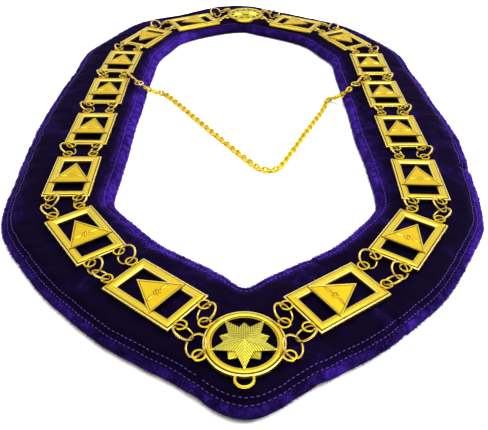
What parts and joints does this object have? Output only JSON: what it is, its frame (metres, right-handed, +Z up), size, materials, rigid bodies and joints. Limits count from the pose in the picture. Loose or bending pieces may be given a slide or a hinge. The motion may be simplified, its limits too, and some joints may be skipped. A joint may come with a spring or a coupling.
{
  "type": "chain of office",
  "caption": "Chain of office: gilt pierced link plates, star medallions and jump rings on a padded velvet collar, with a thin cable chain across the neck opening.",
  "frame": {"origin": "middle of the collar's outline, on the surface it lies on", "axes": "+Z up from the surface, -Y toward the front point and the front medallion, +Y toward the nape, +X to the right of a viewer at the front"},
  "size_m": [0.2548, 0.434, 0.0159],
  "materials": {
    "velvet": "deep purple cut velvet, nearly black on top",
    "gilt_metal": "bright gold plate, satin on the fields"
  },
  "bodies": {
    "root": {"velvet_collar": "velvet", "front_medallion": "gilt_metal", "back_medallion": "gilt_metal", "cross_chain": "gilt_metal", "clasp_left": "gilt_metal", "clasp_right": "gilt_metal", "chain_ring_left": "gilt_metal", "chain_ring_right": "gilt_metal", "plate_left_1": "gilt_metal", "plate_left_2": "gilt_metal", "plate_left_3": "gilt_metal", "plate_left_4": "gilt_metal", "plate_left_5": "gilt_metal", "plate_left_6": "gilt_metal", "plate_left_7": "gilt_metal", "plate_left_8": "gilt_metal", "plate_right_1": "gilt_metal", "plate_right_2": "gilt_metal", "plate_right_3": "gilt_metal", "plate_right_4": "gilt_metal", "plate_right_5": "gilt_metal", "plate_right_6": "gilt_metal", "plate_right_7": "gilt_metal", "plate_right_8": "gilt_metal", "jump_ring_left_0_inner": "gilt_metal", "jump_ring_left_0_outer": "gilt_metal", "jump_ring_left_1_inner": "gilt_metal", "jump_ring_left_1_outer": "gilt_metal", "jump_ring_left_2_inner": "gilt_metal", "jump_ring_left_2_outer": "gilt_metal", "jump_ring_left_3_inner": "gilt_metal", "jump_ring_left_3_outer": "gilt_metal", "jump_ring_left_4_inner": "gilt_metal", "jump_ring_left_4_outer": "gilt_metal", "jump_ring_left_5_inner": "gilt_metal", "jump_ring_left_5_outer": "gilt_metal", "jump_ring_left_6_inner": "gilt_metal", "jump_ring_left_6_outer": "gilt_metal", "jump_ring_left_7_inner": "gilt_metal", "jump_ring_left_7_outer": "gilt_metal", "jump_ring_left_8_inner": "gilt_metal", "jump_ring_left_8_outer": "gilt_metal", "jump_ring_right_0_inner": "gilt_metal", "jump_ring_right_0_outer": "gilt_metal", "jump_ring_right_1_inner": "gilt_metal", "jump_ring_right_1_outer": "gilt_metal", "jump_ring_right_2_inner": "gilt_metal", "jump_ring_right_2_outer": "gilt_metal", "jump_ring_right_3_inner": "gilt_metal", "jump_ring_right_3_outer": "gilt_metal", "jump_ring_right_4_inner": "gilt_metal", "jump_ring_right_4_outer": "gilt_metal", "jump_ring_right_5_inner": "gilt_metal", "jump_ring_right_5_outer": "gilt_metal", "jump_ring_right_6_inner": "gilt_metal", "jump_ring_right_6_outer": "gilt_metal", "jump_ring_right_7_inner": "gilt_metal", "jump_ring_right_7_outer": "gilt_metal", "jump_ring_right_8_inner": "gilt_metal", "jump_ring_right_8_outer": "gilt_metal"}
  },
  "joints": []
}
